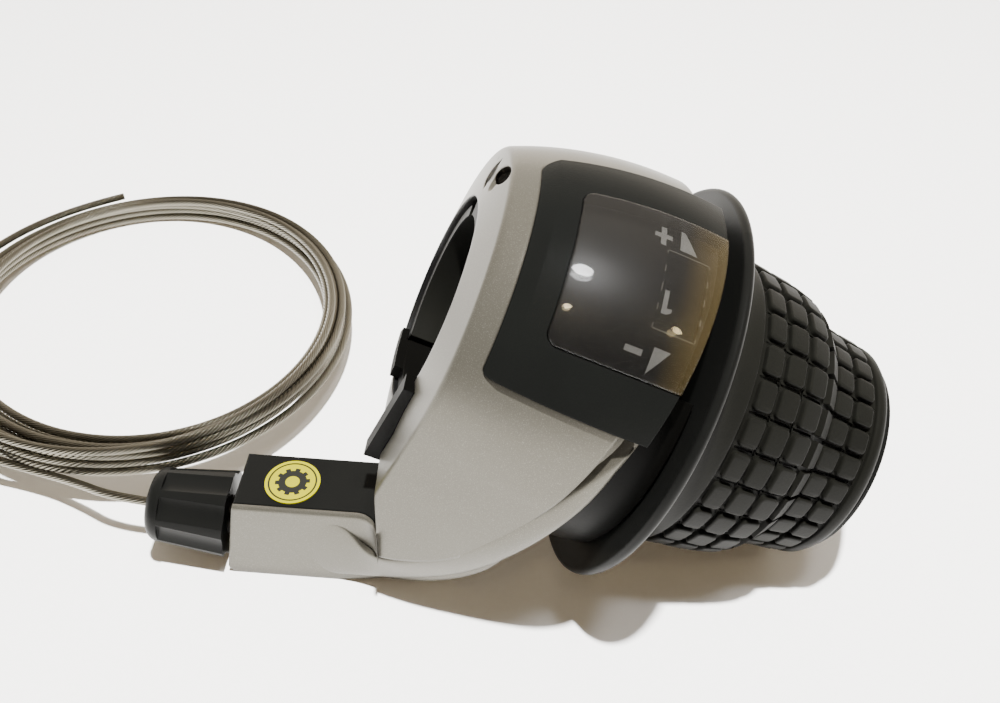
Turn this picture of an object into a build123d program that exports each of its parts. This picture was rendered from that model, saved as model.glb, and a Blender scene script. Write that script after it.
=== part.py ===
from build123d import *
import math
import os

# Twist grip shifter for a flat handlebar, lying on a table as it is sold.
# Sizes are in millimetres. The bar frame has X along the handlebar towards the open end of the grip,
# and every piece on the bar is drawn in it, then laid down by one tilt about Y.
# Angles about the bar start at the top and grow towards the front of the housing.

# Handlebar fits
BAR_DIAMETER = 22.2
CLAMP_FIT = 0.05
SLEEVE_FIT = 0.25
SLEEVE_WALL = 0.85
RUN_FIT = 0.1
SEAT_FIT = 0.03
PLAY = 0.3

# Stations along the bar, measured from the middle of the clamp
CLAMP_HALF = 3.6
LUG_END = -4.8
BASE_WALL_START = 5.2
BASE_WALL_END = 6.4
WINDER_START = 7.0
WINDER_WIDTH = 4.0
INDEX_WIDTH = 1.5
NUMBER_RING_END = 21.4
DRUM_END = 23.2
LIP_START = 23.6
LIP_END = 25.0
GRIP_END = 52.0
END_RING_WIDTH = 0.5

# Radii of the grip
FLANGE_R = 26.0
COLLAR_R = 21.4
CORE_R = 17.0
CORE_SMALL_R = 13.2
HUB_R = 13.4
GRIP_RIM_R = 14.6
GRIP_ROUND = 1.2
CORE_TAPER = 0.6
CORE_STEP_LEAD = 1.0
FLANGE_FOOT = 2.0
COLLAR_SHARE = 0.385
COLLAR_SAG = 0.5

# Tread blocks of the rubber, with the grooves between the columns as shares of the grip's length
TREAD_ROWS = 27
TREAD_PHASE = 6.8
ROW_GAP = 0.85
COLUMN_GAP = 0.7
TREAD_DEPTH = 0.8
GROOVE_SHARES = (0.2222, 0.337, 0.4593, 0.5815, 0.6667, 0.7926, 0.9148)
TREAD_R = (19.4, 19.05, 18.7, 17.9, 15.75, 15.15, 14.8)

# Barrel of the housing: one wide arc turned about the bar
CROWN_R = 24.85
CROWN_X = 17.3
BARREL_ARC = 48.0
OPENING_X = -4.2
OPENING_R = 13.45
SHOULDER_X = -2.9
SHOULDER_ROUND = 1.2
BARREL_END = 25.0
WALL = 2.0
LEDGE_STEP = 1.3

# Front wall that leaves the barrel at a tangent and runs down to the arm
SKIRT_ANGLE = 95.0
SKIRT_LENGTH = 38.0
SKIRT_BACK_R = 8.2
SKIRT_WALL = 3.0
PANEL_LEFT = -9.0

# Swept lower edge of the housing, set by where it crosses the bar's axis, and the ledge above it
EDGE_LEAN = 10.3
EDGE_AT = 17.11
EDGE_CORNER = 28.0
LEDGE_LIFT = 8.2
LEDGE_INSET = 3.0
LEDGE_CORNER = 28.0

# Cable arm
ARM_LEFT = -29.0
ARM_FRONT = -17.5
ARM_BACK = -8.2
ARM_HEIGHT = 13.5
ARM_WALL = 1.2
BELT_REACH = 20.0
BELT_SWING = 6.2
WEB_R = 3.0
ARM_ROUND = 1.3
ARM_END_LEAN = 10.0
COVER_INSET = 0.7
COVER_PLATE = 0.5
COVER_PLUG = 1.3
COVER_EDGE = 0.2
LABEL_R = 3.55
LABEL_THICK = 0.2
LABEL_AT = (-20.9, -12.75)

# Gear window
BEZEL_START = 0.1
BEZEL_ANGLES = (-10.0, 65.0)
BEZEL_CORNERS = (0.7, 2.2)
BEZEL_BAND = 1.8
BEZEL_BAND_PROUD = 0.12
BEZEL_PROUD = 0.6
BEZEL_THICK = 2.25
LENS_START = 4.4
LENS_ANGLES = (5.0, 50.5)
LENS_CORNERS = (1.4, 1.4)
LENS_PROUD = 0.8
LENS_UNDER = 0.9
MASK_THICK = 0.5
MASK_WINDOW = (15.1, 20.2)
MASK_ANGLES = (13.5, 36.5)
NUMBER_RING_R = 21.2
NUMBER_RING_WALL = 1.0
WINDOW_DEPTH = 2.0
WINDOW_MARGIN = 1.0

# Clamp bolt, set at a slant so that its key comes out at the inboard shoulder
BOLT_ANGLE = -41.0
BOLT_X = 0.5
BOLT_R = 15.8
BOLT_SLANT = -22.0
BOLT_SHANK_R = 1.95
BOLT_HEAD_R = 2.6
BOLT_HEAD = 2.2
BOLT_KEY_R = 1.25
BOLT_KEY_DEPTH = 1.4
KEY_HOLE_R = 1.25
SCOOP_R = 1.7
SCOOP_X = -4.65
SCOOP_ANGLE = -14.0
SCOOP_AT_R = 17.0
EAR_GAP = 1.2
EAR_THICK = 2.6
EAR_WIDTH = 4.4
EAR_TOP = 18.4
STRAP_WALL = 1.4
SADDLE_WALL = 1.9
STRAP_ANGLES = (-160.0, -46.0)
HOOK_ANGLE = 8.0
LUG_ANGLES = (170.0, 204.0)
SADDLE_ANGLES = (-36.0, 196.0)

# Rib of the base that runs down behind the front wall, at the inboard end
RIB_LEFT = -5.2
RIB_RIGHT = -2.4
RIB_LOW_R = 12.4
RIB_TOP_R = 14.8
RIB_START = 0.6
RIB_END = 15.0

# Gear mechanism
GEARS = 7
GEAR_STEP = 21.0
WINDER_GROOVE_R = 15.4
WINDER_R = 17.8
INDEX_R = 18.6
NOTCH_R = 1.1
SPRING_ANGLE = -110.0
SPRING_REACH = 34.0
SPRING_TIP = 3.0
SPRING_FOOT = 6.0
SPRING_THICK = 0.5

# Inner cable and its adjuster
CABLE_R = 0.6
CABLE_RUN_R = WINDER_GROOVE_R + CABLE_R + RUN_FIT
WRAP_ANGLE = 30.0
NIPPLE_R = 1.9
NIPPLE_LENGTH = 3.2
CABLE_Y = -12.6
CABLE_HEIGHT = 6.0
ADJUSTER_PITCH = 6.0
CORNER_HEIGHT = 7.2
LEAD_BEND = 8.0
ARM_BEND = 20.0
GUIDE_R = 1.55
GUIDE_BORE_R = 0.85
GUIDE_UP = 6.2
GUIDE_ALONG = 10.5
GUIDE_SLOT_LEAD = 4.0
KNOB_GAP = 0.9
KNOB_LENGTH = 10.6
KNOB_R = 5.8
KNOB_TIP_R = 4.8
KNOB_FLUTES = 8
FLUTE_R = 3.6
FLUTE_DEPTH = 0.55
SOCKET_R = 2.6
SOCKET_DEPTH = 5.0
KNOB_ROUND = 1.7
FLUTE_START = 1.6
SCREW_GRIP = 4.5
SCREW_R = 2.5
SCREW_BORE_R = 1.45
SCREW_REACH = 9.0
LINER_R = 1.35
LINER_BORE_R = 0.85
LINER_OVER = 1.0
ARM_BEND_LEAD = 3.0
ADJUSTER_NUT = 4.0
NUT_START = 3.2
NUT_HEIGHT = 8.0
BEND_SHARE = 0.45

# Cable coil on the table
COIL_AT = (-55.8, 29.4)
COIL_R = 31.6
COIL_HALF_WIDTH = 2.5
COIL_HALF_HEIGHT = 1.75

# Lengths that reach past the whole part, for cuts
BORE_LONG = 60.0
SPACE_HIGH = 96.0

# Values that follow from the sizes above
CLAMP_R = BAR_DIAMETER / 2 + CLAMP_FIT
END_RING_END = GRIP_END + PLAY + END_RING_WIDTH
GROOVES = tuple(LIP_END + share * (GRIP_END - LIP_END) for share in GROOVE_SHARES)
COVER_THICK = COVER_PLATE + COVER_PLUG
CORE_STEP_X = GROOVES[3] - CORE_STEP_LEAD
SLEEVE_IN_R = BAR_DIAMETER / 2 + SLEEVE_FIT
SLEEVE_R = SLEEVE_IN_R + SLEEVE_WALL
CORE_BORE_R = SLEEVE_R + RUN_FIT
LIP_ROUND = (LIP_END - LIP_START) / 2
WINDER_END = WINDER_START + WINDER_WIDTH
WINDER_X = WINDER_START + WINDER_WIDTH / 2
INDEX_START = WINDER_END + PLAY
INDEX_END = INDEX_START + INDEX_WIDTH
NUMBER_RING_START = INDEX_END + PLAY
DRUM_OUT = WALL + PLAY
DRUM_IN = DRUM_OUT + SLEEVE_WALL

# The shifter lies on the rim of its flange and on the rim of the grip's end
RIM_RUN = GRIP_END - GRIP_ROUND - (LIP_START + LIP_ROUND)
RIM_DROP = FLANGE_R - LIP_ROUND - (GRIP_RIM_R - GRIP_ROUND)
RIM_SPAN = math.hypot(RIM_RUN, RIM_DROP)
TILT = math.degrees(math.atan2(RIM_DROP, RIM_RUN) - math.asin((GRIP_ROUND - LIP_ROUND) / RIM_SPAN))
LIE = Rot(Y=TILT)
COS_T = math.cos(math.radians(TILT))
SIN_T = math.sin(math.radians(TILT))
TABLE = -(LIP_START + LIP_ROUND) * SIN_T - (FLANGE_R - LIP_ROUND) * COS_T - LIP_ROUND
EDGE_SLOPE = 90 - TILT - EDGE_LEAN
EDGE_FOOT_X = EDGE_AT * COS_T + (EDGE_AT * SIN_T + TABLE) / math.tan(math.radians(EDGE_SLOPE))
KNOB_RIGHT = -KNOB_GAP
KNOB_LEFT = KNOB_RIGHT - KNOB_LENGTH

# The adjuster's axis starts at the end face of the arm and rises a little towards the knob
ARM_MOUTH = Pos(ARM_LEFT, CABLE_Y, TABLE + CABLE_HEIGHT)
ADJUSTER = ARM_MOUTH * Rot(Y=ADJUSTER_PITCH)


def arc_r(x, inset=0.0):
    """Radius of the barrel's skin at station x, or of a surface `inset` under it."""
    return CROWN_R - BARREL_ARC + math.sqrt((BARREL_ARC - inset) ** 2 - (x - CROWN_X) ** 2)


def barrel_arc(inset, left, right):
    middle = (left + right) / 2
    return ThreePointArc(*[(x, arc_r(x, inset)) for x in (left, middle, right)])


def barrel_face(inset, left_foot, right, foot):
    """Half section of the barrel down to radius `foot`, with its shoulder rounded."""
    left_top = left_foot + SHOULDER_X - OPENING_X
    top = barrel_arc(inset, left_top, right)
    rest = Polyline(top @ 1, (right, foot), (left_foot, foot), top @ 0)
    face = make_face(top.edges() + rest.edges())
    return Plane.XZ * fillet(face.vertices().sort_by_distance(top @ 0)[0], SHOULDER_ROUND)


def skin_face(outer, inner, left, right):
    """Half section of a layer between two depths under the barrel's skin."""
    over = barrel_arc(outer, left, right)
    under = barrel_arc(inner, left, right)
    ends = [Line(over @ 0, under @ 0), Line(over @ 1, under @ 1)]
    return Plane.XZ * make_face(over.edges() + under.edges() + [e.edge() for e in ends])


def ring_face(left, right, inner, outer):
    return Plane.XZ * Polygon((left, inner), (right, inner), (right, outer), (left, outer), align=None)


def turn(face):
    return revolve(face, Axis.X)


def sector(face, start, end):
    """Part of a turned body between two angles about the bar."""
    return Rot(X=start) * revolve(face, Axis.X, end - start)


def patch(face, angles, corners):
    """Sector with its front and its back inboard corner rounded."""
    body = sector(face, *angles)
    for side, corner in zip((0, -1), corners):
        left = body.bounding_box().min.X
        straight = body.edges().filter_by(GeomType.LINE)
        ends = straight.filter_by_position(Axis.X, left - SEAT_FIT, left + SEAT_FIT)
        body = fillet(ends.sort_by(Axis.Y)[side], corner)
    return body


def around(angle, x, radius):
    """Place on the bar with local Z pointing outwards."""
    return Rot(X=angle) * Pos(x, 0, radius)


def above_edge(lift, inset, corner):
    """Space over the swept lower edge, seen from the front, moved in by a lift and an inset."""
    slope = math.radians(EDGE_SLOPE)
    foot = EDGE_FOOT_X + lift / math.tan(slope) - inset / math.sin(slope)
    far = foot + SPACE_HIGH / math.tan(slope)
    outline = Polygon((-BORE_LONG, lift), (foot, lift), (far, lift + SPACE_HIGH),
                      (-BORE_LONG, lift + SPACE_HIGH), align=None)
    outline = fillet(outline.vertices().sort_by_distance((foot, lift))[0], corner)
    return Pos(0, 0, TABLE) * extrude(Plane.XZ * outline, BORE_LONG, both=True)


def behind_belt(depth):
    """Space behind the belt under the ledge, which swings out from the arm to the barrel."""
    front = ARM_FRONT + depth
    outline = Polygon((-BORE_LONG, BORE_LONG), (-BORE_LONG, front), (PANEL_LEFT, front),
                      (PANEL_LEFT + 3 * BELT_REACH, front - 3 * BELT_SWING),
                      (PANEL_LEFT + 3 * BELT_REACH, BORE_LONG), align=None)
    return extrude(outline, BORE_LONG, both=True)


def world_box(x0, x1, y0, y1, low, high):
    """Box between two corners, with its heights above the table."""
    middle = Pos((x0 + x1) / 2, (y0 + y1) / 2, TABLE + (low + high) / 2)
    return middle * Box(x1 - x0, y1 - y0, high - low)


def rod(radius, start, end):
    """Round bar on the adjuster's axis."""
    return ADJUSTER * Pos((start + end) / 2, 0, 0) * Rot(Y=90) * Cylinder(radius, end - start)


def one(shape):
    """Largest solid of a shape."""
    return shape.solids().sort_by(SortBy.VOLUME)[-1]


# Clamp hardware frame: bolt along Y, head towards minus Y, Z away from the bar
CLAMP = Rot(X=BOLT_ANGLE) * Pos(BOLT_X, 0, BOLT_R) * Rot(Z=BOLT_SLANT)


def bolt_rod(radius, start, end):
    return CLAMP * Pos(0, (start + end) / 2, 0) * Rot(X=90) * Cylinder(radius, end - start)


def clamp_ear(start, end, margin=0.0):
    """Block for the bolt, standing on the clamp band."""
    height = EAR_TOP + margin - SLEEVE_R
    middle = Pos(0, (start + end) / 2, SLEEVE_R + height / 2 - BOLT_R)
    return CLAMP * middle * Box(EAR_WIDTH + 2 * margin, end - start + 2 * margin, height)


def skirt_solid(inset, start, back):
    """Front wall as a block, its face `inset` under the skin."""
    angle = math.radians(SKIRT_ANGLE)
    face = Rot(X=SKIRT_ANGLE) * barrel_face(inset, start, BARREL_END, back)
    return extrude(face, SKIRT_LENGTH, dir=(0, -math.cos(angle), -math.sin(angle)))


def head_solid(inset, start):
    """Barrel and front wall together, laid on the table."""
    barrel = turn(barrel_face(inset, start, BARREL_END, OPENING_R))
    skirt = LIE * skirt_solid(inset, start, SKIRT_BACK_R)
    right = world_box(PANEL_LEFT, BORE_LONG, -BORE_LONG, BORE_LONG, 0, SPACE_HIGH)
    return LIE * barrel + (skirt & right)


def arm_block(low, high, web_low, front):
    """Arm between two heights, with a leaning end and the hollow web that joins the panel."""
    arm = world_box(2 * ARM_LEFT, EDGE_FOOT_X, front, ARM_BACK, low, high)
    arm -= ARM_MOUTH * Rot(Y=ARM_END_LEAN) * Pos(-BORE_LONG / 2, 0, 0) * Box(BORE_LONG, BORE_LONG, BORE_LONG)
    web = world_box(PANEL_LEFT - WEB_R, PANEL_LEFT, front - WEB_R, front, web_low, high)
    web -= Pos(PANEL_LEFT - WEB_R, front - WEB_R, TABLE) * Cylinder(WEB_R, BORE_LONG)
    return arm + web


def rib_block(margin):
    """Rib of the base, or the room for it in the housing."""
    middle = Pos((RIB_LEFT + RIB_RIGHT) / 2, -(RIB_START + RIB_END) / 2, (RIB_LOW_R + RIB_TOP_R) / 2)
    size = (RIB_RIGHT - RIB_LEFT, RIB_END - RIB_START, RIB_TOP_R - RIB_LOW_R)
    return Rot(X=SKIRT_ANGLE) * middle * Box(*[side + 2 * margin for side in size])


def channel(margin, right, low, high):
    """Inside of the arm, or a block that fits in it with a margin."""
    return world_box(ARM_LEFT + 2 * ARM_WALL + margin, right, ARM_FRONT + ARM_WALL + margin,
                     ARM_BACK - ARM_WALL - margin, low, high)


def make_housing():
    front = head_solid(0, OPENING_X) & above_edge(LEDGE_LIFT, LEDGE_INSET, LEDGE_CORNER)
    belt = head_solid(LEDGE_STEP, OPENING_X + WALL) & above_edge(0, 0, EDGE_CORNER) & behind_belt(0)
    arm = arm_block(0, ARM_HEIGHT, LEDGE_LIFT, ARM_FRONT)
    arm = fillet(arm.edges().filter_by(Axis.Y).sort_by(Axis.X)[0], ARM_ROUND)
    along = arm.edges().filter_by(Axis.X)
    rims = along.filter_by_position(Axis.Y, ARM_FRONT - SEAT_FIT, ARM_FRONT + SEAT_FIT)
    arm = fillet(rims.sort_by(Axis.Z)[-1], COVER_INSET - PLAY / 2)
    plate_low = ARM_HEIGHT - COVER_PLATE
    arm -= arm_block(plate_low, ARM_HEIGHT + COVER_PLATE, plate_low, ARM_FRONT + COVER_INSET - SEAT_FIT)
    body = front + belt + (arm & above_edge(0, 0, EDGE_CORNER))
    hollow = turn(barrel_face(WALL, OPENING_X + WALL, BARREL_END + WALL, CLAMP_R))
    body -= LIE * hollow
    body -= LIE * turn(ring_face(-BORE_LONG, BORE_LONG, 0, OPENING_R))
    lower = LIE * skirt_solid(SKIRT_WALL, OPENING_X, SKIRT_BACK_R + ARM_WALL)
    lower &= above_edge(ARM_WALL, ARM_WALL, EDGE_CORNER - ARM_WALL) & behind_belt(ARM_WALL)
    lower &= world_box(PANEL_LEFT + ARM_WALL, BORE_LONG, -BORE_LONG, BORE_LONG, 0, BORE_LONG)
    body -= lower
    floor_line = above_edge(ARM_WALL, ARM_WALL, EDGE_CORNER - ARM_WALL)
    body -= channel(0, PANEL_LEFT + 2 * ARM_WALL, ARM_WALL, ARM_HEIGHT - COVER_THICK) & floor_line
    body -= channel(0, PANEL_LEFT - SEAT_FIT, ARM_HEIGHT - 2 * COVER_THICK, ARM_HEIGHT)
    body -= rod(SCREW_R + PLAY, KNOB_RIGHT, SCREW_REACH)
    body -= tube(guide_path(), GUIDE_R + RUN_FIT)
    opening = skin_face(-BEZEL_THICK, 2 * BEZEL_THICK, BEZEL_START - SEAT_FIT, BARREL_END + WALL)
    body -= LIE * patch(opening, (BEZEL_ANGLES[0] - SEAT_FIT, BEZEL_ANGLES[1] + SEAT_FIT), BEZEL_CORNERS)
    body -= LIE * clamp_ear(-EAR_GAP / 2 - EAR_THICK, EAR_GAP / 2 + EAR_THICK, PLAY)
    head_room = -EAR_GAP / 2 - EAR_THICK - BOLT_HEAD - PLAY
    body -= LIE * bolt_rod(BOLT_HEAD_R + PLAY, head_room, EAR_GAP)
    body -= LIE * bolt_rod(KEY_HOLE_R, -BORE_LONG / 2, head_room)
    body -= LIE * rib_block(PLAY)
    body -= LIE * around(SCOOP_ANGLE, SCOOP_X, SCOOP_AT_R) * Sphere(SCOOP_R)
    return one(body)


def make_base():
    bar_room = ring_face(-BORE_LONG, BORE_LONG, 0, CLAMP_R + PLAY)
    saddle = sector(ring_face(-CLAMP_HALF, BASE_WALL_END, CLAMP_R, CLAMP_R + SADDLE_WALL), *SADDLE_ANGLES)
    saddle -= turn(ring_face(CLAMP_HALF, BORE_LONG, 0, SLEEVE_IN_R))
    lug = sector(ring_face(LUG_END, -CLAMP_HALF - PLAY, SLEEVE_IN_R, CLAMP_R + SADDLE_WALL), *LUG_ANGLES)
    lug_foot = ring_face(LUG_END, -CLAMP_HALF, SLEEVE_IN_R, CLAMP_R + SADDLE_WALL)
    lug += sector(lug_foot, LUG_ANGLES[0], SADDLE_ANGLES[1])
    sleeve = turn(ring_face(CLAMP_HALF + PLAY, END_RING_END, SLEEVE_IN_R, SLEEVE_R))
    wall = turn(ring_face(BASE_WALL_START, BASE_WALL_END, SLEEVE_IN_R, arc_r(BASE_WALL_END, DRUM_IN)))
    drum = turn(skin_face(DRUM_OUT, DRUM_IN, BASE_WALL_START, DRUM_END))
    base = saddle + lug + sleeve + wall + drum + rib_block(0)
    base += clamp_ear(-EAR_GAP / 2 - EAR_THICK, -EAR_GAP / 2) - turn(bar_room)
    base -= bolt_rod(BOLT_SHANK_R + PLAY / 2, -BORE_LONG / 2, BORE_LONG / 2) & turn(
        ring_face(-BORE_LONG, BASE_WALL_START - PLAY, SLEEVE_R, BORE_LONG))
    window = ring_face(NUMBER_RING_START, BORE_LONG, NUMBER_RING_R - WINDOW_DEPTH, BORE_LONG)
    base -= sector(window, LENS_ANGLES[0] - WINDOW_MARGIN, LENS_ANGLES[1] + WINDOW_MARGIN)
    slot_at = around(CABLE_LEAD_ANGLE, WINDER_X, CABLE_RUN_R) * Pos(0, -BORE_LONG / 4 - GUIDE_SLOT_LEAD, 0)
    slot = slot_at * Box(4 * CABLE_R, BORE_LONG / 2, 4 * CABLE_R)
    return LIE * one(base - slot)


def make_strap():
    band = sector(ring_face(-CLAMP_HALF, CLAMP_HALF, CLAMP_R, CLAMP_R + STRAP_WALL), *STRAP_ANGLES)
    hook = sector(ring_face(-CLAMP_HALF, CLAMP_HALF, CLAMP_R, CLAMP_R + SADDLE_WALL),
                  STRAP_ANGLES[0], STRAP_ANGLES[0] + HOOK_ANGLE)
    bar_room = ring_face(-BORE_LONG, BORE_LONG, 0, CLAMP_R + PLAY)
    ear = clamp_ear(EAR_GAP / 2, EAR_GAP / 2 + EAR_THICK) - turn(bar_room)
    strap = band + hook + ear
    strap -= bolt_rod(BOLT_SHANK_R + SEAT_FIT, -BORE_LONG / 2, BORE_LONG / 2)
    return LIE * one(strap)


def make_bolt():
    seat = -EAR_GAP / 2 - EAR_THICK
    shank = bolt_rod(BOLT_SHANK_R, seat, EAR_GAP / 2 + EAR_THICK)
    head = bolt_rod(BOLT_HEAD_R, seat - BOLT_HEAD, seat)
    key = CLAMP * Pos(0, seat - BOLT_HEAD, 0) * Rot(X=90) * extrude(
        RegularPolygon(BOLT_KEY_R, 6, major_radius=False), BOLT_KEY_DEPTH, both=True)
    return LIE * one(shank + head - key)


def make_bezel():
    """Frame of the window, with a sloped band along its inboard side."""
    face = skin_face(-BEZEL_PROUD, BEZEL_THICK - BEZEL_PROUD, BEZEL_START, BARREL_END)
    frame = patch(face, BEZEL_ANGLES, BEZEL_CORNERS)
    band_end = BEZEL_START + BEZEL_BAND
    band = Polygon((BEZEL_START, arc_r(BEZEL_START, -BEZEL_BAND_PROUD)),
                   (band_end, arc_r(band_end, -BEZEL_PROUD)),
                   (BEZEL_START, arc_r(band_end, -BEZEL_THICK)), align=None)
    frame -= turn(Plane.XZ * band)
    hole_face = skin_face(-BEZEL_THICK, 2 * BEZEL_THICK, LENS_START, BARREL_END + WALL)
    hole = patch(hole_face, LENS_ANGLES, LENS_CORNERS)
    return one(LIE * (frame - hole) & above_edge(0, SEAT_FIT, EDGE_CORNER))


def pane(outer, inner):
    """Sheet that fits the opening of the bezel."""
    margin = math.degrees(2 * SEAT_FIT / CROWN_R)
    sheet = patch(skin_face(outer, inner, LENS_START + 2 * SEAT_FIT, BARREL_END),
                  (LENS_ANGLES[0] + margin, LENS_ANGLES[1] - margin), LENS_CORNERS)
    return LIE * sheet & above_edge(0, SEAT_FIT, EDGE_CORNER)


def make_lens():
    return one(pane(-LENS_PROUD, LENS_UNDER))


def make_mask():
    plate = pane(LENS_UNDER + SEAT_FIT, LENS_UNDER + SEAT_FIT + MASK_THICK)
    window = sector(ring_face(*MASK_WINDOW, NUMBER_RING_R, BORE_LONG), *MASK_ANGLES)
    return one(plate - LIE * window)


def make_cover():
    """Lid over the whole top of the arm, with a plug that clips into the channel."""
    lid = arm_block(ARM_HEIGHT - COVER_PLATE, ARM_HEIGHT, ARM_HEIGHT - COVER_PLATE, ARM_FRONT + COVER_INSET)
    lid &= world_box(2 * ARM_LEFT, PANEL_LEFT - SEAT_FIT, -BORE_LONG, BORE_LONG, 0, BORE_LONG)
    lid = chamfer(lid.edges().group_by(Axis.Z)[-1], COVER_EDGE)
    plug_low = ARM_HEIGHT - COVER_THICK
    plug = channel(SEAT_FIT, PANEL_LEFT - 2 * SEAT_FIT, plug_low, ARM_HEIGHT - COVER_PLATE)
    return one(lid + plug)


def make_label():
    return Pos(*LABEL_AT, TABLE + ARM_HEIGHT + LABEL_THICK / 2) * Cylinder(LABEL_R, LABEL_THICK)


def make_knob():
    side = Polyline((KNOB_LEFT, 0), (KNOB_LEFT, KNOB_TIP_R), (KNOB_RIGHT, KNOB_R), (KNOB_RIGHT, 0),
                    close=True)
    blank = revolve(Plane.XZ * make_face(side), Axis.X)
    blank = fillet(blank.edges().filter_by(GeomType.CIRCLE).sort_by(Axis.X)[0], KNOB_ROUND)
    taper = math.degrees(math.atan2(KNOB_R - KNOB_TIP_R, KNOB_LENGTH))
    mean_r = (KNOB_R + KNOB_TIP_R) / 2
    flute = Pos((KNOB_LEFT + KNOB_RIGHT) / 2, 0, mean_r + FLUTE_R - FLUTE_DEPTH) * Rot(Y=90 - taper)
    flute = flute * Pos(0, 0, FLUTE_START) * Cylinder(FLUTE_R, KNOB_LENGTH)
    blank -= [Rot(X=360 * k / KNOB_FLUTES) * flute for k in range(KNOB_FLUTES)]
    knob = ADJUSTER * blank
    knob -= rod(SOCKET_R, KNOB_LEFT - PLAY, KNOB_LEFT + SOCKET_DEPTH)
    knob -= rod(SCREW_R + SEAT_FIT, KNOB_RIGHT - SCREW_GRIP, KNOB_RIGHT + PLAY)
    knob -= rod(SCREW_BORE_R, KNOB_LEFT, KNOB_RIGHT)
    return one(knob)


def make_screw():
    start = KNOB_RIGHT - SCREW_GRIP
    return rod(SCREW_R, start, SCREW_REACH) - rod(SCREW_BORE_R, start - PLAY, SCREW_REACH + PLAY)


def make_adjuster_nut():
    depth = ARM_BACK - ARM_FRONT - 2 * ARM_WALL - 2 * SEAT_FIT
    middle = (ARM_FRONT + ARM_BACK) / 2 - CABLE_Y
    block = ADJUSTER * Pos(NUT_START + ADJUSTER_NUT / 2, middle, 0) * Box(ADJUSTER_NUT, depth, NUT_HEIGHT)
    return one(block - rod(SCREW_R + RUN_FIT, 0, BORE_LONG / 2))


def make_liner():
    start = KNOB_LEFT + SOCKET_DEPTH + PLAY
    end = SCREW_REACH + LINER_OVER
    return rod(LINER_R, start, end) - rod(LINER_BORE_R, start - PLAY, end + PLAY)


def on_adjuster(x):
    """Point of the adjuster's axis in the lying frame."""
    return tuple((ADJUSTER * Pos(x, 0, 0)).position)


def lie(x, y, z):
    """Point of the bar frame in the lying frame."""
    return (x * COS_T + z * SIN_T, y, z * COS_T - x * SIN_T)


# The cable comes along the arm, turns at one corner and meets the winder's groove at a tangent
CORNER_Z = TABLE + CORNER_HEIGHT
CORNER_X = (WINDER_X + CORNER_Z * SIN_T) / COS_T
CORNER = (CORNER_X, CABLE_Y, CORNER_Z)
CORNER_DROP = CORNER_X * SIN_T + CORNER_Z * COS_T
CORNER_REACH = math.hypot(CABLE_Y, CORNER_DROP)
CORNER_ANGLE = math.degrees(math.atan2(-CABLE_Y, CORNER_DROP))
CABLE_LEAD_ANGLE = CORNER_ANGLE - math.degrees(math.acos(CABLE_RUN_R / CORNER_REACH))
TANGENT_RUN = math.sqrt(CORNER_REACH ** 2 - CABLE_RUN_R ** 2)
ARM_POINT = on_adjuster(SCREW_REACH + ARM_BEND_LEAD)
NIPPLE_ANGLE = CABLE_LEAD_ANGLE - WRAP_ANGLE
NIPPLE_SPAN = math.degrees(NIPPLE_R / CABLE_RUN_R)


def on_tangent(run):
    """Point on the straight stretch between winder and corner, `run` from the winder."""
    angle = math.radians(CABLE_LEAD_ANGLE)
    y = -CABLE_RUN_R * math.sin(angle) - run * math.cos(angle)
    z = CABLE_RUN_R * math.cos(angle) - run * math.sin(angle)
    return lie(WINDER_X, y, z)


def tube(path, radius):
    return sweep(Plane(path @ 0, z_dir=path % 0) * Circle(radius), path)


def make_lead():
    ends = (on_tangent(0), CORNER, ARM_POINT, on_adjuster(KNOB_LEFT))
    return tube(FilletPolyline(*ends, radius=[LEAD_BEND, ARM_BEND]), CABLE_R)


# End of the guide on the stretch from the corner to the arm
GUIDE_END = Vector(*CORNER) + (Vector(*ARM_POINT) - Vector(*CORNER)).normalized() * GUIDE_ALONG


def guide_path():
    return FilletPolyline(on_tangent(TANGENT_RUN - GUIDE_UP), CORNER, GUIDE_END, radius=LEAD_BEND)


def make_guide():
    foot = world_box(GUIDE_END.X + PLAY, GUIDE_END.X + 2 * GUIDE_R, CABLE_Y - GUIDE_R, CABLE_Y + GUIDE_R,
                     3 * ARM_WALL - 2 * PLAY, CABLE_HEIGHT)
    return one(tube(guide_path(), GUIDE_R) + foot - tube(guide_path(), GUIDE_BORE_R))


def make_core():
    outline = Polyline((WINDER_START, CORE_BORE_R), (WINDER_START, HUB_R), (NUMBER_RING_END, HUB_R),
                       (LIP_START, HUB_R + FLANGE_FOOT), (LIP_START, FLANGE_R - LIP_ROUND))
    rim = ThreePointArc((LIP_START, FLANGE_R - LIP_ROUND), (LIP_START + LIP_ROUND, FLANGE_R),
                        (LIP_END, FLANGE_R - LIP_ROUND))
    rest = Polyline((LIP_END, FLANGE_R - LIP_ROUND), (LIP_END, CORE_R), (CORE_STEP_X, CORE_R - CORE_TAPER),
                    (GROOVES[4], CORE_SMALL_R), (GRIP_END - GRIP_ROUND, CORE_SMALL_R),
                    (GRIP_END - GRIP_ROUND, CORE_BORE_R), (WINDER_START, CORE_BORE_R))
    face = make_face(outline.edges() + rim.edges() + rest.edges())
    return LIE * turn(Plane.XZ * face)


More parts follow.
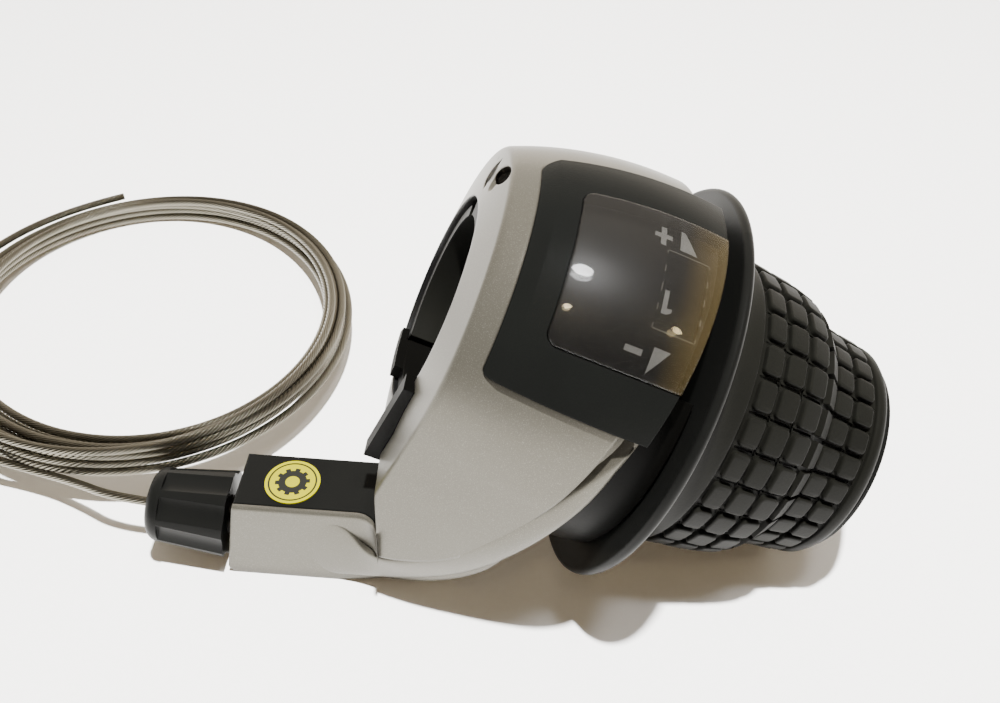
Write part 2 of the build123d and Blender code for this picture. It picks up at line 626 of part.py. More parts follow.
def make_rubber():
    columns = list(zip(GROOVES, TREAD_R))
    start = LIP_END + SEAT_FIT
    low = [(x, r - TREAD_DEPTH) for x, r in columns]
    sag = GRIP_ROUND * (1 - math.sqrt(0.5))
    end_arc = ThreePointArc((GRIP_END - GRIP_ROUND, GRIP_RIM_R), (GRIP_END - sag, GRIP_RIM_R - sag),
                            (GRIP_END, GRIP_RIM_R - GRIP_ROUND))
    collar_end = GROOVES[0] - COLUMN_GAP / 2
    collar_middle = (start + COLLAR_SHARE * (collar_end - start), TREAD_R[0] + COLLAR_SAG)
    collar = ThreePointArc((start, COLLAR_R), collar_middle, (collar_end, TREAD_R[0]))
    skin = Polyline(collar @ 1, *low, (GROOVES[-1] + COLUMN_GAP / 2, GRIP_RIM_R), end_arc @ 0)
    inside = Polyline(end_arc @ 1, (GRIP_END, CORE_SMALL_R + SEAT_FIT), (GROOVES[4], CORE_SMALL_R + SEAT_FIT),
                      (CORE_STEP_X, CORE_R - CORE_TAPER + SEAT_FIT), (start, CORE_R + SEAT_FIT), collar @ 0)
    body = turn(Plane.XZ * make_face(collar.edges() + skin.edges() + end_arc.edges() + inside.edges()))
    for (x0, r0), (x1, r1) in zip(columns, columns[1:]):
        left = x0 + COLUMN_GAP / 2
        right = x1 - COLUMN_GAP / 2
        body += tread_column(left, right, r0, r1)
    return LIE * one(body)


def tread_column(left, right, r_left, r_right):
    """One ring of raised blocks, cut into rows by straight slots."""
    under = 2 * TREAD_DEPTH
    face = Plane.XZ * Polygon((left, r_left - under), (left, r_left), (right, r_right),
                              (right, r_right - under), align=None)
    pitch = 360 / TREAD_ROWS
    gap = math.degrees(ROW_GAP / ((r_left + r_right) / 2))
    blocks = [sector(face, TREAD_PHASE + k * pitch + gap / 2, TREAD_PHASE + (k + 1) * pitch - gap / 2)
              for k in range(TREAD_ROWS)]
    return Part() + blocks


def make_winder():
    lip = WINDER_WIDTH / 2 - CABLE_R - PLAY
    left = WINDER_START + lip
    right = WINDER_END - lip
    outline = Polyline((WINDER_START, HUB_R + SEAT_FIT), (WINDER_START, WINDER_R), (left, WINDER_R),
                       (left, WINDER_GROOVE_R), (right, WINDER_GROOVE_R), (right, WINDER_R),
                       (WINDER_END, WINDER_R), (WINDER_END, HUB_R + SEAT_FIT), close=True)
    winder = turn(Plane.XZ * make_face(outline))
    pocket = Rot(Y=90) * Cylinder(NIPPLE_R + SEAT_FIT, NIPPLE_LENGTH + SEAT_FIT)
    return LIE * one(winder - around(NIPPLE_ANGLE, WINDER_X, CABLE_RUN_R) * pocket)


def make_nipple():
    return LIE * around(NIPPLE_ANGLE, WINDER_X, CABLE_RUN_R) * Rot(Y=90) * Cylinder(NIPPLE_R, NIPPLE_LENGTH)


def make_wrap():
    section = Plane.XZ * Pos(WINDER_X, CABLE_RUN_R) * Circle(CABLE_R)
    return LIE * sector(section, NIPPLE_ANGLE + NIPPLE_SPAN, CABLE_LEAD_ANGLE)


def make_index_ring():
    ring = turn(ring_face(INDEX_START, INDEX_END, HUB_R + SEAT_FIT, INDEX_R))
    notch = Rot(Y=90) * Cylinder(NOTCH_R, 2 * INDEX_WIDTH)
    for gear in range(GEARS):
        angle = SPRING_ANGLE - GEAR_STEP * gear
        ring -= around(angle, (INDEX_START + INDEX_END) / 2, INDEX_R) * notch
    return LIE * one(ring)


def make_spring():
    """Leaf held in the drum at one end, with a round nose over the notches."""
    middle = (INDEX_START + INDEX_END) / 2
    nose_r = NOTCH_R - PLAY
    leaf_r = INDEX_R + PLAY + nose_r
    leaf = sector(ring_face(INDEX_START, INDEX_END, leaf_r, leaf_r + SPRING_THICK), SPRING_ANGLE - SPRING_TIP,
                  SPRING_ANGLE + SPRING_REACH)
    nose = around(SPRING_ANGLE, middle, INDEX_R + PLAY + nose_r) * Rot(Y=90) * Cylinder(nose_r, INDEX_WIDTH)
    foot = sector(ring_face(INDEX_START, INDEX_END, leaf_r, arc_r(INDEX_START, DRUM_IN) - SEAT_FIT),
                  SPRING_ANGLE + SPRING_REACH - SPRING_FOOT, SPRING_ANGLE + SPRING_REACH)
    return LIE * one(leaf + nose + foot)


def make_number_ring():
    start = NUMBER_RING_START
    rim = turn(ring_face(start, NUMBER_RING_END, NUMBER_RING_R - NUMBER_RING_WALL, NUMBER_RING_R))
    web = turn(ring_face(start, start + NUMBER_RING_WALL, HUB_R + SEAT_FIT, NUMBER_RING_R))
    return LIE * one(rim + web)


def make_washer():
    face = ring_face(BASE_WALL_END + SEAT_FIT, WINDER_START - PLAY / 2, SLEEVE_R + SEAT_FIT, HUB_R)
    return LIE * turn(face)


def make_end_ring():
    return LIE * turn(ring_face(GRIP_END + PLAY, END_RING_END, SLEEVE_R + SEAT_FIT, GRIP_RIM_R - GRIP_ROUND))


def route_fillets(points):
    """Bend radius for each corner of a cord route."""
    radii = []
    for a, b, c in zip(points, points[1:], points[2:]):
        before = Vector(*b) - Vector(*a)
        after = Vector(*c) - Vector(*b)
        half = math.radians(before.get_angle(after)) / 2
        radii.append(BEND_SHARE * min(before.length, after.length) / math.tan(half))
    return radii


def table_point(x, y, height):
    return (x, y, TABLE + height)


# Free cable from the adjuster to the near side of the coil
EXIT = on_adjuster(KNOB_LEFT)
FREE_ROUTE = (
    EXIT,
    on_adjuster(KNOB_LEFT - 5.5),
    table_point(EXIT[0] - 12.0, CABLE_Y + 3.6, 5.6),
    table_point(EXIT[0] - 18.5, CABLE_Y + 8.8, 2.9),
)


def make_free_cable():
    radii = route_fillets(FREE_ROUTE)
    print("free cable bends", [round(r, 1) for r in radii])
    return tube(FilletPolyline(*FREE_ROUTE, radius=radii), CABLE_R)


def make_coil():
    section = Plane.XZ * Pos(COIL_R, 0) * Ellipse(COIL_HALF_WIDTH, COIL_HALF_HEIGHT)
    return Pos(*COIL_AT, TABLE + COIL_HALF_HEIGHT) * revolve(section, Axis.Z)


PIECES = {
    "main_housing": make_housing(),
    "unit_base": make_base(),
    "clamp_strap": make_strap(),
    "clamp_bolt": make_bolt(),
    "window_bezel": make_bezel(),
    "window_lens": make_lens(),
    "dial_mask": make_mask(),
    "number_ring": make_number_ring(),
    "arm_cover": make_cover(),
    "arm_label": make_label(),
    "adjuster_knob": make_knob(),
    "adjuster_screw": make_screw(),
    "adjuster_nut": make_adjuster_nut(),
    "cable_liner": make_liner(),
    "cable_guide": make_guide(),
    "cable_lead": make_lead(),
    "cable_winder": make_winder(),
    "cable_wrap": make_wrap(),
    "cable_nipple": make_nipple(),
    "index_ring": make_index_ring(),
    "index_spring": make_spring(),
    "thrust_washer": make_washer(),
    "grip_core": make_core(),
    "grip_rubber": make_rubber(),
    "end_ring": make_end_ring(),
    "gear_cable": make_free_cable(),
    "cable_coil": make_coil(),
}

os.makedirs("parts", exist_ok=True)
for name, piece in PIECES.items():
    export_step(piece, "parts/" + name + ".step")
    print(name, round(piece.volume, 1), "mm3")
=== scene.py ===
# %% [markdown]
# # A twist grip shifter, dressed in Blender
# The solids come packed from the CAD model and stay where they are. This file gives them their
# finishes, replaces the plain rubber and the plain cable with detailed ones, adds the belt of the
# housing and the printing behind the window, and sets up the table, the lights and the camera of
# the photograph. Blender works in metres. Most shapes are written in millimetres and multiplied by
# MM, but the strands of the cable, the table, the lights and the shaders are in metres. The
# handlebar's axis is X of the bar frame, which is tipped down by TILT.

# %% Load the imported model
import bmesh
import bpy
import math
from mathutils import Matrix, Vector


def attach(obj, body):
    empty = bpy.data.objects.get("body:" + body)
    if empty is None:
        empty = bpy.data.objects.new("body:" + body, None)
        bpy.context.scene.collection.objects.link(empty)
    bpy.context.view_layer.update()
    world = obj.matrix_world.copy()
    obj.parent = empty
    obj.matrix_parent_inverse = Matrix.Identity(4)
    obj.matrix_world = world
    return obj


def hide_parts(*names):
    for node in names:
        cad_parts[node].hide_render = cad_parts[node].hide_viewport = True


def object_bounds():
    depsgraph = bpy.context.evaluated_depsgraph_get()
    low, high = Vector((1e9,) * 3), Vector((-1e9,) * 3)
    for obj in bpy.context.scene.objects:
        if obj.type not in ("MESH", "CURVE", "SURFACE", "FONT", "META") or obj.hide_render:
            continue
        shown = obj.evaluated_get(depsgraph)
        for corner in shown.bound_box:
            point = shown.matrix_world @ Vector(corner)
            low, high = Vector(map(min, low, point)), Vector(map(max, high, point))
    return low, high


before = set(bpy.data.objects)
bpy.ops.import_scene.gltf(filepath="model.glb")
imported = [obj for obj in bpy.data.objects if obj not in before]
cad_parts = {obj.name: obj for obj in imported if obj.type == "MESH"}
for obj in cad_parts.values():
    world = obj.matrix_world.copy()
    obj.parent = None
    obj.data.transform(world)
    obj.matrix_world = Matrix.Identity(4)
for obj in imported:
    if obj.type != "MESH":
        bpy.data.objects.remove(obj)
cad_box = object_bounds()
MM = 0.001
TILT = math.radians(23.1965)
LIE = Matrix.Rotation(TILT, 4, "Y")
TABLE = cad_box[0].z
print("CAD box", [round(v / MM, 1) for corner in cad_box for v in corner], "mm")


# %% [markdown]
# ## Selecting
# An operator works on whatever is selected and active, so every step first deselects everything.
# `open_alone` then goes into edit mode with one piece and nothing else.

# %% Edit mode on one piece
def open_alone(piece):
    """Edit mode on one piece, with all of it selected."""
    bpy.ops.object.select_all(action="DESELECT")
    bpy.context.view_layer.objects.active = piece
    piece.select_set(True)
    bpy.ops.object.mode_set(mode="EDIT")
    bpy.ops.mesh.select_all(action="SELECT")


print("selection helper ready")


# %% [markdown]
# ## Camera
# The photograph was taken from in front of the housing and above it. The direction was found by
# fitting circles to the rims of the flange and of the grip, at the scale of the handlebar. A camera
# could be aimed with a Track To constraint, but axes written down are exact and easy to check.

# %% Camera
CAMERA_AT = (10.4, -102.5, 88.8)
CAMERA_AHEAD = (-0.042, 0.732, -0.681)
CAMERA_RIGHT = (0.997, 0.076, 0.020)
SENSOR, LENS, NEAREST = 36.0, 39.6, 0.005


def set_camera(place, ahead, right):
    ahead = Vector(ahead).normalized()
    right = Vector(right)
    right = (right - ahead * right.dot(ahead)).normalized()
    above = right.cross(ahead)
    turn = Matrix((right, above, -ahead)).transposed().to_4x4()
    data = bpy.data.cameras.new("photo_camera")
    data.sensor_width = SENSOR
    data.lens = LENS
    data.clip_start = NEAREST
    item = bpy.data.objects.new("photo_camera", data)
    item.matrix_world = Matrix.Translation(Vector(place) * MM) @ turn
    bpy.context.scene.collection.objects.link(item)
    bpy.context.scene.camera = item
    return item


camera = set_camera(CAMERA_AT, CAMERA_AHEAD, CAMERA_RIGHT)
print("camera at", [round(v, 4) for v in camera.location])


# %% [markdown]
# ## Shader maths in Python
# A material is a graph of nodes, and plain arithmetic is tedious to wire by hand. The class Wire
# wraps one output, so `1 - mask * 0.3` adds the Math nodes by itself. Finish is one material; its
# method `node` adds any other node, sets it up, and fills or links its sockets.

# %% Wire and Finish
def colour(r, g, b):
    return (r, g, b, 1.0)


class Wire:
    """Output of a node that takes part in arithmetic."""

    def __init__(self, finish, socket):
        self.finish = finish
        self.socket = socket

    def maths(self, operation, *values):
        return self.finish.node("ShaderNodeMath", {"operation": operation}, *values)

    def __add__(self, other):
        return self.maths("ADD", self, other)

    def __sub__(self, other):
        return self.maths("SUBTRACT", self, other)

    def __rsub__(self, other):
        return self.maths("SUBTRACT", other, self)

    def __mul__(self, other):
        return self.maths("MULTIPLY", self, other)

    def __pow__(self, other):
        return self.maths("POWER", self, other)

    __radd__ = __add__
    __rmul__ = __mul__


class Finish:
    """One procedural material."""

    def __init__(self, name):
        self.material = bpy.data.materials.new(name)
        self.material.use_nodes = True
        self.tree = self.material.node_tree
        self.shader = self.tree.nodes["Principled BSDF"]

    def node(self, kind, settings=None, *values, out=0, **named):
        made = self.tree.nodes.new(kind)
        for key, value in (settings or {}).items():
            setattr(made, key, value)
        for place, value in [*enumerate(values), *named.items()]:
            self.put(made.inputs[place], value)
        return Wire(self, made.outputs[out])

    def put(self, socket, value):
        if isinstance(value, Wire):
            self.tree.links.new(value.socket, socket)
        else:
            socket.default_value = value

    def set(self, **sockets):
        for name, value in sockets.items():
            self.put(self.shader.inputs[name.replace("_", " ")], value)

    def place(self):
        return self.node("ShaderNodeTexCoord", out="Object")

    def axis(self, where, number):
        return self.node("ShaderNodeSeparateXYZ", {}, where, out=number)

    def noise(self, scale, detail=2.0):
        return self.node("ShaderNodeTexNoise", Vector=self.place(), Scale=scale, Detail=detail)

    def ramp(self, value, low, high):
        """Value stretched so that low becomes 0 and high becomes 1, held between them."""
        return self.node("ShaderNodeMapRange", {"clamp": True}, value, low, high)

    def mix(self, share, first, second):
        return self.node("ShaderNodeMix", {"data_type": "RGBA"}, out=2,
                         Factor=share, A=first, B=second)

    def bump(self, height, depth, strength, under=None):
        extra = {"Normal": under} if under else {}
        return self.node("ShaderNodeBump", Height=height, Distance=depth, Strength=strength,
                         **extra)

    def crevice(self, reach):
        """Ambient occlusion for painted shade: 1 in the open, falling towards 0 in corners and
        under edges.
        """
        return self.node("ShaderNodeAmbientOcclusion", {"samples": 8}, out="AO", Distance=reach)

    def soft_edge(self, radius):
        return self.node("ShaderNodeBevel", {"samples": 6}, radius)


print("shader helpers ready")

# %% [markdown]
# ## Table and light
# The shifter lies on a white table under one small lamp, almost overhead, which draws sharp brown
# shadows close to the piece. The table glows a little, so that the shade is as light and as warm as
# in the photograph. Three weak lamps stand for the glints in the window.

# %% Table
TABLE_SIZE, TABLE_DROP = 4.0, 0.00002
PAPER_DARK, PAPER_LIGHT = colour(0.86, 0.855, 0.845), colour(0.9, 0.895, 0.885)
SHADE_GLOW, GLOW_STRENGTH = colour(1.0, 0.74, 0.44), 0.09

bpy.ops.object.select_all(action="DESELECT")
bpy.ops.mesh.primitive_plane_add(size=TABLE_SIZE, location=(0, 0, TABLE - TABLE_DROP))
floor = bpy.context.object
floor.name = "table"
paper = Finish("white_table")
speck = paper.noise(scale=900.0, detail=3.0)
paper.set(
    Base_Color=paper.mix(speck, PAPER_DARK, PAPER_LIGHT),
    Roughness=0.55,
    Normal=paper.bump(speck, depth=0.00002, strength=0.3),
    Emission_Color=SHADE_GLOW,
    Emission_Strength=GLOW_STRENGTH,
)
floor.data.materials.append(paper.material)
print("table at", round(TABLE / MM, 2), "mm")


# %% Lights
def lamp(name, place, target, size, power, tint):
    data = bpy.data.lights.new(name, "AREA")
    data.shape = "DISK"
    data.size = size
    data.energy = power
    data.color = tint
    item = bpy.data.objects.new(name, data)
    item.location = place
    aim = Vector(target) - Vector(place)
    item.rotation_euler = aim.to_track_quat("-Z", "Y").to_euler()
    bpy.context.scene.collection.objects.link(item)
    return item


key_light = lamp("key_light", place=(0.045, -0.075, 0.64), target=(0, 0, -0.02),
                 size=0.03, power=26.0, tint=(1.0, 0.995, 0.98))
key_light.visible_glossy = False
lamp("key_glint", place=(0.165, -0.075, 0.62), target=(0.014, -0.012, 0.017),
     size=0.070, power=1.1, tint=(1, 1, 1))
lamp("warm_glint", place=(0.13, -0.36, 0.68), target=(0.012, -0.016, 0.015),
     size=0.036, power=0.24, tint=(1.0, 0.80, 0.50))
lamp("low_warm_glint", place=(0.47, -0.22, 0.45), target=(0.024, -0.015, 0.012),
     size=0.036, power=0.17, tint=(1.0, 0.78, 0.42))
print("lamps", len(bpy.data.lights))

# %% [markdown]
# The room itself lights the shadows. It is brightest high at the back and dim towards the viewer,
# because glossy black plastic mirrors the whole room, and an even white room would turn it grey.
# The key lamp is hidden from mirror reflections for the same reason. A white wall stands low at
# the back, and the silver paint mirrors it along its top edge.

# %% Room
BRIGHT_SIDE = (0.0, 0.8, 0.6)
SKY_DIM, SKY_BRIGHT, WALL_BRIGHT = 0.09, 0.9, 3.0
ROOM_TINT = colour(1.0, 0.90, 0.76)
world = bpy.data.worlds.new("dim_room")
bpy.context.scene.world = world
world.use_nodes = True
room = world.node_tree


def room_node(kind, operation=None, **values):
    made = room.nodes.new(kind)
    if operation:
        made.operation = operation
    for name, value in values.items():
        made.inputs[name.replace("_", " ")].default_value = value
    return made


def room_ramp(low, high, at_low, at_high):
    return room_node("ShaderNodeMapRange", From_Min=low, From_Max=high,
                     To_Min=at_low, To_Max=at_high)


direction = room_node("ShaderNodeTexCoord")
facing = room_node("ShaderNodeVectorMath", "DOT_PRODUCT")
facing.inputs[1].default_value = BRIGHT_SIDE
axes = room_node("ShaderNodeSeparateXYZ")
sky = room_ramp(low=0.2, high=0.95, at_low=SKY_DIM, at_high=SKY_BRIGHT)
behind = room_ramp(low=0.3, high=0.9, at_low=0.0, at_high=1.0)
low = room_ramp(low=0.08, high=0.40, at_low=WALL_BRIGHT, at_high=0.0)
wall = room_node("ShaderNodeMath", "MULTIPLY")
total = room_node("ShaderNodeMath", "ADD")
background = room.nodes["Background"]
background.inputs["Color"].default_value = ROOM_TINT
for start, end in (
        (direction.outputs["Generated"], facing.inputs[0]),
        (direction.outputs["Generated"], axes.inputs[0]),
        (facing.outputs["Value"], sky.inputs["Value"]),
        (axes.outputs["Y"], behind.inputs["Value"]),
        (axes.outputs["Z"], low.inputs["Value"]),
        (behind.outputs[0], wall.inputs[0]),
        (low.outputs[0], wall.inputs[1]),
        (sky.outputs[0], total.inputs[0]),
        (wall.outputs[0], total.inputs[1]),
        (total.outputs[0], background.inputs["Strength"])):
    room.links.new(start, end)
print("room is brightest towards", BRIGHT_SIDE)

# %% [markdown]
# ## Gear cable
# The inner cable is 1.2 mm of twisted steel wire. It leaves the adjuster, drops towards the table
# and runs into a loose coil of about nine and a half turns in four layers, which fan out on the
# near left. One NURBS spline carries it all: the route's own points, then sixteen for each turn.
# A turn is placed by its radius, its height and a fan that opens the turns where nothing ties
# them. The coil rests on the table at the back and rises to the front, where the adjuster holds
# it up.

# %% Cable route
EXIT = (-40.437, -12.6, -26.324)
ROUTE = [EXIT, (-45.907, -12.6, -25.749), (-52.437, -9.3, -27.5), (-58.6, -7.0, -28.7)]
COIL_AT = (-55.8, 29.4)
TURNS, POINTS_A_TURN, FIRST_ANGLE = 9.415, 16, -97.0
RADII = [(0, 35.1), (0.35, 34.6), (1.0, 33.1), (2.8, 30.1), (5.35, 33.3), (8.4, 29.5),
         (9.05, 33.2), (9.42, 34.6)]
LAYER, CLIMBS = 1.22, [(2.72, 3.05), (5.2, 5.6), (8.12, 8.45)]
FIRST_HEIGHT, LEAD_DROP, LEAD_TURN = 0.62, 0.6, 0.45
END_DROP, END_TURN = 1.2, 9.1
FAN, FAN_SIDE, FAN_INSIDE = 0.6, math.radians(125), 34.0
RISE, HIGH_SIDE = 6.2, math.radians(-65.0)


def ease(start, end, turn):
    share = min(max((turn - start) / (end - start), 0.0), 1.0)
    return share * share * (3 - 2 * share)


def radius_at(turn):
    for (t0, r0), (t1, r1) in zip(RADII, RADII[1:]):
        if turn <= t1:
            return r0 + (r1 - r0) * (turn - t0) / (t1 - t0)
    return RADII[-1][1]


def lifted(place, height):
    """Point raised along its line of sight, so that the camera sees it where it was."""
    eye = camera.location / MM
    share = height / (eye.z - place[2])
    return tuple(v + (e - v) * share for v, e in zip(place, eye))


def coil_point(turn):
    angle = math.radians(FIRST_ANGLE - 360 * turn)
    height = FIRST_HEIGHT + LEAD_DROP * (1 - ease(0, LEAD_TURN, turn))
    height += LAYER * sum(ease(*climb, turn) for climb in CLIMBS)
    height -= END_DROP * ease(END_TURN, TURNS, turn)
    radius = radius_at(turn)
    if radius < FAN_INSIDE:
        fan = FAN * max(0.0, math.cos(angle + FAN_SIDE)) ** 2
        radius = FAN_INSIDE + (radius - FAN_INSIDE) * (1 + fan)
    x, y = radius * math.cos(angle), radius * math.sin(angle)
    flat = (COIL_AT[0] + x, COIL_AT[1] + y, TABLE / MM + height)
    return lifted(flat, RISE * (0.5 + 0.5 * math.cos(angle - HIGH_SIDE)))


whole_points = range(1, int(TURNS * POINTS_A_TURN) + 1)
points = ROUTE + [coil_point(k / POINTS_A_TURN) for k in whole_points] + [coil_point(TURNS)]
print("route of", len(points), "points")

# %% Cable spline
route_data = bpy.data.curves.new("cable_route", "CURVE")
route_data.dimensions = "3D"
spline = route_data.splines.new("NURBS")
spline.points.add(len(points) - 1)
for point, place in zip(spline.points, points):
    point.co = (*[v * MM for v in place], 1.0)
spline.order_u = 3
spline.use_endpoint_u = True
spline.resolution_u = 24
route = bpy.data.objects.new("cable_route", route_data)
bpy.context.scene.collection.objects.link(route)
bpy.context.view_layer.update()
seen_route = route.evaluated_get(bpy.context.evaluated_depsgraph_get())
path = [v.co.copy() for v in bpy.data.meshes.new_from_object(seen_route).vertices]
bpy.data.objects.remove(route)

# %% [markdown]
# The wire's twelve outer strands are real geometry: a ring of 24 points with every second one
# drawn in, turned a little further at each step. The turn is counted from the length run, so the
# lay of the strands is even in the tight and the wide bends. A bevelled curve could be twisted by
# the tilt of its points, but its lay would follow the spacing of the points.

# %% Cable strands
CABLE_R, STRANDS, LAY, VALLEY = 0.0006, 12, 0.0105, 0.86
SHARP = math.radians(50)


def strand_tube(name, centre, radius):
    around = 2 * STRANDS
    places = []
    faces = []
    run = 0.0
    for k, here in enumerate(centre):
        before = centre[max(k - 1, 0)]
        after = centre[min(k + 1, len(centre) - 1)]
        ahead = (after - before).normalized()
        side = ahead.cross(Vector((0, 0, 1))).normalized()
        up = side.cross(ahead)
        run += (here - before).length
        twist = 2 * math.pi * run / LAY
        for j in range(around):
            angle = math.pi * j / STRANDS + twist
            reach = radius * (1.0 if j % 2 == 0 else VALLEY)
            places.append(here + side * reach * math.cos(angle) + up * reach * math.sin(angle))
    for k in range(len(centre) - 1):
        for j in range(around):
            a, b = k * around + j, k * around + (j + 1) % around
            faces.append((a, b, b + around, a + around))
    last = (len(centre) - 1) * around
    faces.append(tuple(range(around))[::-1])
    faces.append(tuple(range(last, last + around)))
    mesh = bpy.data.meshes.new(name)
    mesh.from_pydata(places, [], faces)
    mesh.update()
    tube = bpy.data.objects.new(name, mesh)
    bpy.context.scene.collection.objects.link(tube)
    return tube


cable = strand_tube("inner_cable", path, CABLE_R)
open_alone(cable)
bpy.ops.mesh.normals_make_consistent(inside=False)
bpy.ops.object.mode_set(mode="OBJECT")
bpy.ops.object.shade_smooth_by_angle(angle=SHARP)
print("cable triangles", sum(len(p.vertices) - 2 for p in cable.data.polygons))

# %% Cable finish
strand_steel = Finish("stranded_steel")
smear = strand_steel.noise(scale=220.0, detail=3.0)
fine = strand_steel.noise(scale=5200.0)
strand_steel.set(
    Base_Color=strand_steel.mix(smear, colour(0.15, 0.138, 0.105), colour(0.24, 0.225, 0.185)),
    Roughness=0.24 + 0.14 * fine,
    Metallic=1.0,
)
cable.data.materials.append(strand_steel.material)
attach(cable, "housing")
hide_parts("gear_cable", "cable_coil")
print("cable rides on the housing")


# %% [markdown]
# ## Moulded finishes
# The housing is plastic with a satin silver paint, the bezel and the small parts are black with
# the fine grain of a spark-eroded mould, and the grip is matt rubber. Each finish has its own
# grain in the bump and a slow change of gloss, because an even surface looks like a drawing. The
# Bevel node rounds the look of sharp edges, as every moulded edge is.

# %% Silver paint
def bar_frame(finish):
    """Object coordinates turned back into the handlebar's frame, as X, Y and Z."""
    turned = finish.node("ShaderNodeMapping", {}, finish.place(), Rotation=(0.0, -TILT, 0.0))
    return [finish.axis(turned, number) for number in range(3)]


BARE_BORE, PAINT_EDGE, PAINT_ROUND = 0.0135, 0.0001, 0.0005
BARE, PAINTED_CORNER_SHADE = colour(0.004, 0.004, 0.004), colour(0.040, 0.036, 0.028)
PAINT_DARK, PAINT_LIGHT = colour(0.086, 0.080, 0.064), colour(0.099, 0.093, 0.076)
FLAKE_TONE = colour(0.145, 0.137, 0.116)
silver = Finish("satin_silver_paint")
flake = silver.noise(scale=9000.0, detail=1.0)
cloud = silver.noise(scale=45.0, detail=3.0)
_, bar_y, bar_z = bar_frame(silver)
painted = silver.ramp((bar_y * bar_y + bar_z * bar_z) ** 0.5, BARE_BORE, BARE_BORE + PAINT_EDGE)
tone = silver.mix(silver.ramp(cloud, low=0.35, high=0.65), PAINT_DARK, PAINT_LIGHT)
sparkle = silver.mix(silver.ramp(flake, low=0.55, high=0.75), tone, FLAKE_TONE)
# Painted shade: the paint darkens to a dark brown in corners and under the panel's edge.
unshaded_share = silver.ramp(silver.crevice(reach=0.0032), low=0.25, high=0.85)
silver.set(
    Base_Color=silver.mix(painted, BARE, silver.mix(unshaded_share, PAINTED_CORNER_SHADE, sparkle)),
    Metallic=painted * 0.62,
    Roughness=0.32 + 0.08 * cloud,
    Normal=silver.bump(flake, depth=0.000008, strength=0.25, under=silver.soft_edge(PAINT_ROUND)),
)
print("silver paint ready")


# %% Plastics
MOULD_ROUND = 0.0002


def moulded(name, dark, light, gloss, grain, depth, shine=0.10):
    finish = Finish(name)
    pits = finish.noise(scale=grain)
    wear = finish.noise(scale=70.0, detail=4.0)
    finish.set(
        Base_Color=finish.mix(wear, colour(*dark), colour(*light)),
        Specular_IOR_Level=shine,
        Roughness=gloss + 0.12 * (wear - 0.5),
        Normal=finish.bump(pits, depth, strength=0.5, under=finish.soft_edge(MOULD_ROUND)),
    )
    return finish


bezel_black = moulded("grained_black_plastic", (0.0028, 0.0030, 0.0028), (0.0050, 0.0053, 0.0048),
                      gloss=0.36, grain=5200.0, depth=0.00003, shine=0.06)
satin_black = moulded("satin_black_plastic", (0.0026, 0.0027, 0.0025), (0.0050, 0.0051, 0.0047),
                      gloss=0.42, grain=3800.0, depth=0.00002)
# Painted shade: a darker copy of the black plastic, for parts deep inside the housing.
shade_darkened_black = moulded("shade_darkened_black_plastic", (0.0010, 0.0010, 0.0009), (0.0022, 0.0021, 0.0018),
                      gloss=0.44, grain=3000.0, depth=0.00002, shine=0.05)
rubber = moulded("matt_rubber", (0.0030, 0.0030, 0.0024), (0.0060, 0.0060, 0.0050),
                 gloss=0.55, grain=4200.0, depth=0.00004)
dark_acetal = moulded("dark_acetal", (0.0030, 0.0030, 0.0026), (0.0060, 0.0060, 0.0050),
                      gloss=0.45, grain=2600.0, depth=0.00002)
nylon = moulded("natural_nylon", (0.70, 0.68, 0.62), (0.78, 0.76, 0.71),
                gloss=0.40, grain=2200.0, depth=0.00002)
dial_black = moulded("dial_black", (0.0016, 0.0015, 0.0012), (0.0034, 0.0030, 0.0024),
                     gloss=0.48, grain=3000.0, depth=0.00001)
ring_black = moulded("number_ring_black", (0.004, 0.0036, 0.003), (0.007, 0.0062, 0.005),
                     gloss=0.50, grain=2600.0, depth=0.00001)
print("plastics ready")


# %% Metals
METAL_ROUND = 0.00015


def metal(name, dark, light, gloss, grain):
    finish = Finish(name)
    wear = finish.noise(scale=160.0, detail=4.0)
    scratch = finish.noise(scale=grain)
    finish.set(
        Base_Color=finish.mix(wear, colour(*dark), colour(*light)),
        Roughness=gloss + 0.10 * scratch,
        Metallic=1.0,
        Normal=finish.bump(scratch, depth=0.00001, strength=0.3,
                           under=finish.soft_edge(METAL_ROUND)),
    )
    return finish


bright_steel = metal("zinc_plated_steel", (0.52, 0.52, 0.52), (0.66, 0.66, 0.65),
                     gloss=0.28, grain=3000.0)
# Painted shade: the adjuster screw is coloured near black for the shade beside the knob.
shade_dark_screw = metal("shade_darkened_screw", (0.010, 0.009, 0.008), (0.020, 0.018, 0.016),
                   gloss=0.34, grain=3600.0)
print("metals ready")

# %% [markdown]
# The window is smoked acrylic that stands a little proud of its bezel. Alpha lets the printing
# show through, as a thin tinted sheet does, and keeps its shadow light. Its outboard end lets
# daylight in and looks amber, so that glow is painted into its colour, growing along the bar.

# %% Smoked window
SMOKE, PAINTED_AMBER_GLOW = colour(0.004, 0.004, 0.004), colour(0.070, 0.048, 0.014)
AMBER_GLOW_FROM, AMBER_GLOW_TO, LENS_ROUND = 0.0165, 0.0250, 0.0004
smoked = Finish("smoked_acrylic")
# Painted light: the colour turns amber towards the outboard end, where daylight comes in.
amber_glow_share = smoked.ramp(bar_frame(smoked)[0], AMBER_GLOW_FROM, AMBER_GLOW_TO)
haze = smoked.noise(scale=180.0, detail=3.0)
smoked.set(
    Base_Color=smoked.mix(amber_glow_share, SMOKE, PAINTED_AMBER_GLOW),
    Specular_IOR_Level=1.0,
    Roughness=0.30 + 0.10 * haze,
    Alpha=0.42 + 0.08 * haze,
    Coat_Weight=1.0,
    Coat_Roughness=0.04,
    IOR=1.49,
    Normal=smoked.soft_edge(LENS_ROUND),
)
print("window ready")

# %% [markdown]
# The label on the arm is a yellow disc. Its motif is a plain gear wheel, drawn by the shader: the
# distance from the disc's middle gives the rings, and a sine of the angle gives ten teeth. Each
# edge runs between two radii, so that it looks printed and not cut.

